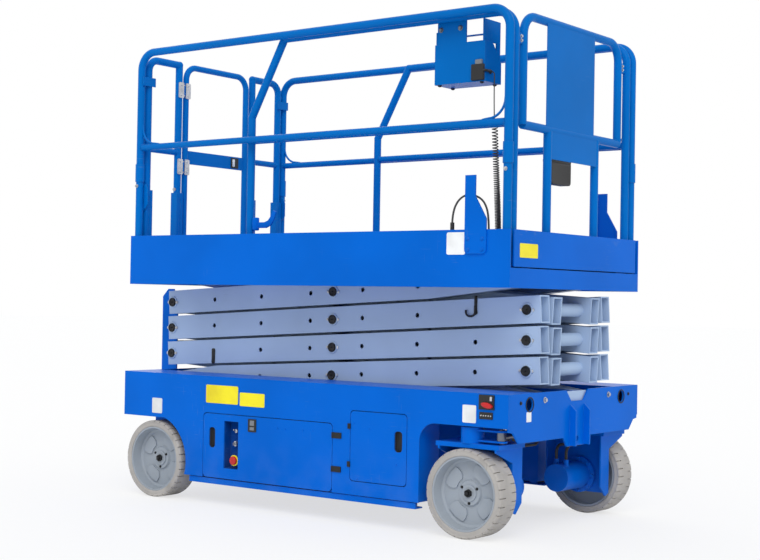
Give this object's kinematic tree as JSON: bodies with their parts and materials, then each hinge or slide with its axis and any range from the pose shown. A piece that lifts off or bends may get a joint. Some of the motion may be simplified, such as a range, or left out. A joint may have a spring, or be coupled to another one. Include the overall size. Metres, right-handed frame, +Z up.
{
  "type": "electric slab scissor lift",
  "caption": "Self-propelled electric scissor lift: steered chassis with bays, folded arm stack, lift cylinder, guarded platform with swing gate and roll-out extension deck",
  "frame": {"origin": "on the floor under the middle of the overall box", "axes": "+X to the steered front, +Y to the left side, +Z up"},
  "size_m": [2.44, 1.17, 2.26],
  "materials": {
    "blue_paint": "strong blue enamel, semi-gloss",
    "dark_blue_paint": "dark blue enamel",
    "arm_paint": "pale blue-grey enamel",
    "steel": "machined, oiled",
    "chrome_rod": "hard chrome",
    "tyre_rubber": "light grey non-marking rubber",
    "rim_paint": "grey enamel",
    "black_plastic": "black, matte",
    "black_metal": "black, satin",
    "cord_rubber": "black cord jacket"
  },
  "bodies": {
    "chassis": {"chassis_centre": "blue_paint", "chassis_side_right": "blue_paint", "chassis_side_left": "blue_paint", "rear_axles": "steel", "king_pins": "steel", "pothole_guards": "blue_paint", "ladder": "blue_paint", "power_packs": "black_plastic", "side_sockets": "black_plastic", "door_hinges": "black_metal", "steer_barrel": "dark_blue_paint"},
    "steer_rod": {"steer_rod": "chrome_rod"},
    "tie_rod": {"tie_rod": "steel"},
    "knuckle_right": {"yoke_right": "blue_paint", "drive_motor_right": "dark_blue_paint"},
    "knuckle_left": {"yoke_left": "blue_paint", "drive_motor_left": "dark_blue_paint"},
    "wheel_front_right": {"rim_front_right": "rim_paint", "tyre_front_right": "tyre_rubber"},
    "wheel_front_left": {"rim_front_left": "rim_paint", "tyre_front_left": "tyre_rubber"},
    "wheel_rear_right": {"rim_rear_right": "rim_paint", "tyre_rear_right": "tyre_rubber"},
    "wheel_rear_left": {"rim_rear_left": "rim_paint", "tyre_rear_left": "tyre_rubber"},
    "outer_1": {"outer_arms_1": "arm_paint", "arm_pins_1": "steel"},
    "outer_2": {"outer_arms_2": "arm_paint", "arm_pins_2": "steel"},
    "outer_3": {"outer_arms_3": "arm_paint", "arm_pins_3": "steel"},
    "outer_4": {"outer_arms_4": "arm_paint", "arm_pins_4": "steel"},
    "inner_1": {"inner_arms_1": "arm_paint"},
    "inner_2": {"inner_arms_2": "arm_paint"},
    "inner_3": {"inner_arms_3": "arm_paint"},
    "inner_4": {"inner_arms_4": "arm_paint"},
    "lift_barrel": {"lift_barrel": "dark_blue_paint"},
    "lift_rod": {"lift_rod": "chrome_rod"},
    "platform": {"main_deck": "blue_paint", "side_rails": "blue_paint", "rear_rails": "blue_paint", "deck_stanchions": "blue_paint", "outlet_cord": "cord_rubber", "outlet_boxes": "black_plastic"},
    "gate": {"gate": "blue_paint"},
    "extension": {"extension_deck": "blue_paint", "extension_rails": "blue_paint", "front_rail": "blue_paint", "control_box": "blue_paint", "document_box": "black_plastic", "control_cord": "cord_rubber"},
    "door_right_rear": {"door_right_rear": "blue_paint", "ground_controls": "black_plastic"},
    "door_right_front": {"door_right_front": "blue_paint"},
    "door_left_rear": {"door_left_rear": "blue_paint"},
    "door_left_front": {"door_left_front": "blue_paint"}
  },
  "joints": [
    {"name": "lift", "type": "hinge", "parent": "chassis", "child": "outer_1", "pos_m": [-1.047, 0, 0.575], "axis": [0, -1, 0], "range_deg": [0, 54.8]},
    {"name": "inner_1_cross", "type": "hinge", "parent": "outer_1", "child": "inner_1", "pos_m": [0.031, 0, 0.64125], "axis": [0, 1, 0], "range_deg": [0, 109.6]},
    {"name": "outer_2_rise", "type": "hinge", "parent": "inner_1", "child": "outer_2", "pos_m": [-1.047, 0, 0.7075], "axis": [0, -1, 0], "range_deg": [0, 109.6]},
    {"name": "inner_2_cross", "type": "hinge", "parent": "outer_2", "child": "inner_2", "pos_m": [0.031, 0, 0.77375], "axis": [0, 1, 0], "range_deg": [0, 109.6]},
    {"name": "outer_3_rise", "type": "hinge", "parent": "inner_2", "child": "outer_3", "pos_m": [-1.047, 0, 0.84], "axis": [0, -1, 0], "range_deg": [0, 109.6]},
    {"name": "inner_3_cross", "type": "hinge", "parent": "outer_3", "child": "inner_3", "pos_m": [0.031, 0, 0.90625], "axis": [0, 1, 0], "range_deg": [0, 109.6]},
    {"name": "outer_4_rise", "type": "hinge", "parent": "inner_3", "child": "outer_4", "pos_m": [-1.047, 0, 0.9725], "axis": [0, -1, 0], "range_deg": [0, 109.6]},
    {"name": "inner_4_cross", "type": "hinge", "parent": "outer_4", "child": "inner_4", "pos_m": [0.031, 0, 1.03875], "axis": [0, 1, 0], "range_deg": [0, 109.6]},
    {"name": "platform_level", "type": "hinge", "parent": "inner_4", "child": "platform", "pos_m": [-1.047, 0, 1.105], "axis": [0, -1, 0], "range_deg": [0, 54.8]},
    {"name": "lift_barrel_tilt", "type": "hinge", "parent": "outer_1", "child": "lift_barrel", "pos_m": [-0.8314, 0, 0.58825], "axis": [0, -1, 0], "range_deg": [0, 6.49]},
    {"name": "lift_rod_out", "type": "slide", "parent": "lift_barrel", "child": "lift_rod", "axis": [0.9963, 0, 0.0857], "range_m": [0, 0.48631]},
    {"name": "steer", "type": "hinge", "parent": "chassis", "child": "knuckle_right", "pos_m": [0.974, -0.515, 0.43], "axis": [0, 0, 1], "range_deg": [-50, 50]},
    {"name": "steer_left", "type": "hinge", "parent": "chassis", "child": "knuckle_left", "pos_m": [0.974, 0.515, 0.43], "axis": [0, 0, 1], "range_deg": [-50, 50]},
    {"name": "tie_rod_end", "type": "hinge", "parent": "knuckle_right", "child": "tie_rod", "pos_m": [1.119, -0.515, 0.438], "axis": [0, 0, 1], "range_deg": [-50, 50]},
    {"name": "steer_rod_out", "type": "slide", "parent": "chassis", "child": "steer_rod", "axis": [0, 1, 0], "range_m": [-0.11107, 0.11107]},
    {"name": "wheel_front_right_spin", "type": "hinge", "parent": "knuckle_right", "child": "wheel_front_right", "pos_m": [0.974, -0.5215, 0.1905], "axis": [0, 1, 0], "continuous": true},
    {"name": "wheel_rear_right_spin", "type": "hinge", "parent": "chassis", "child": "wheel_rear_right", "pos_m": [-0.886, -0.5215, 0.1905], "axis": [0, 1, 0], "continuous": true},
    {"name": "wheel_front_left_spin", "type": "hinge", "parent": "knuckle_left", "child": "wheel_front_left", "pos_m": [0.974, 0.5215, 0.1905], "axis": [0, 1, 0], "continuous": true},
    {"name": "wheel_rear_left_spin", "type": "hinge", "parent": "chassis", "child": "wheel_rear_left", "pos_m": [-0.886, 0.5215, 0.1905], "axis": [0, 1, 0], "continuous": true},
    {"name": "gate_swing", "type": "hinge", "parent": "platform", "child": "gate", "pos_m": [-1.048, -0.258, 1.9], "axis": [0, 0, -1], "range_deg": [0, 90]},
    {"name": "extension_roll", "type": "slide", "parent": "platform", "child": "extension", "axis": [1, 0, 0], "range_m": [0, 0.914]},
    {"name": "door_right_rear_swing", "type": "hinge", "parent": "chassis", "child": "door_right_rear", "pos_m": [0.2575, -0.5812, 0.28], "axis": [0, 0, 1], "range_deg": [0, 90]},
    {"name": "door_left_rear_swing", "type": "hinge", "parent": "chassis", "child": "door_left_rear", "pos_m": [0.2575, 0.5812, 0.28], "axis": [0, 0, -1], "range_deg": [0, 90]},
    {"name": "door_right_front_swing", "type": "hinge", "parent": "chassis", "child": "door_right_front", "pos_m": [0.3605, -0.5812, 0.35], "axis": [0, 0, -1], "range_deg": [0, 90]},
    {"name": "door_left_front_swing", "type": "hinge", "parent": "chassis", "child": "door_left_front", "pos_m": [0.3605, 0.5812, 0.35], "axis": [0, 0, 1], "range_deg": [0, 90]}
  ],
  "couplings": [
    {"joint": "inner_1_cross", "follows": "lift", "ratio": 2},
    {"joint": "outer_2_rise", "follows": "lift", "ratio": 2},
    {"joint": "inner_2_cross", "follows": "lift", "ratio": 2},
    {"joint": "outer_3_rise", "follows": "lift", "ratio": 2},
    {"joint": "inner_3_cross", "follows": "lift", "ratio": 2},
    {"joint": "outer_4_rise", "follows": "lift", "ratio": 2},
    {"joint": "inner_4_cross", "follows": "lift", "ratio": 2},
    {"joint": "platform_level", "follows": "lift", "ratio": 1},
    {"joint": "lift_barrel_tilt", "follows": "lift", "ratio": 0.11846},
    {"joint": "lift_rod_out", "follows": "lift", "m_per_rad": 0.50846},
    {"joint": "steer_left", "follows": "steer", "ratio": 1},
    {"joint": "tie_rod_end", "follows": "steer", "ratio": -1},
    {"joint": "steer_rod_out", "follows": "steer", "m_per_rad": 0.12728}
  ]
}
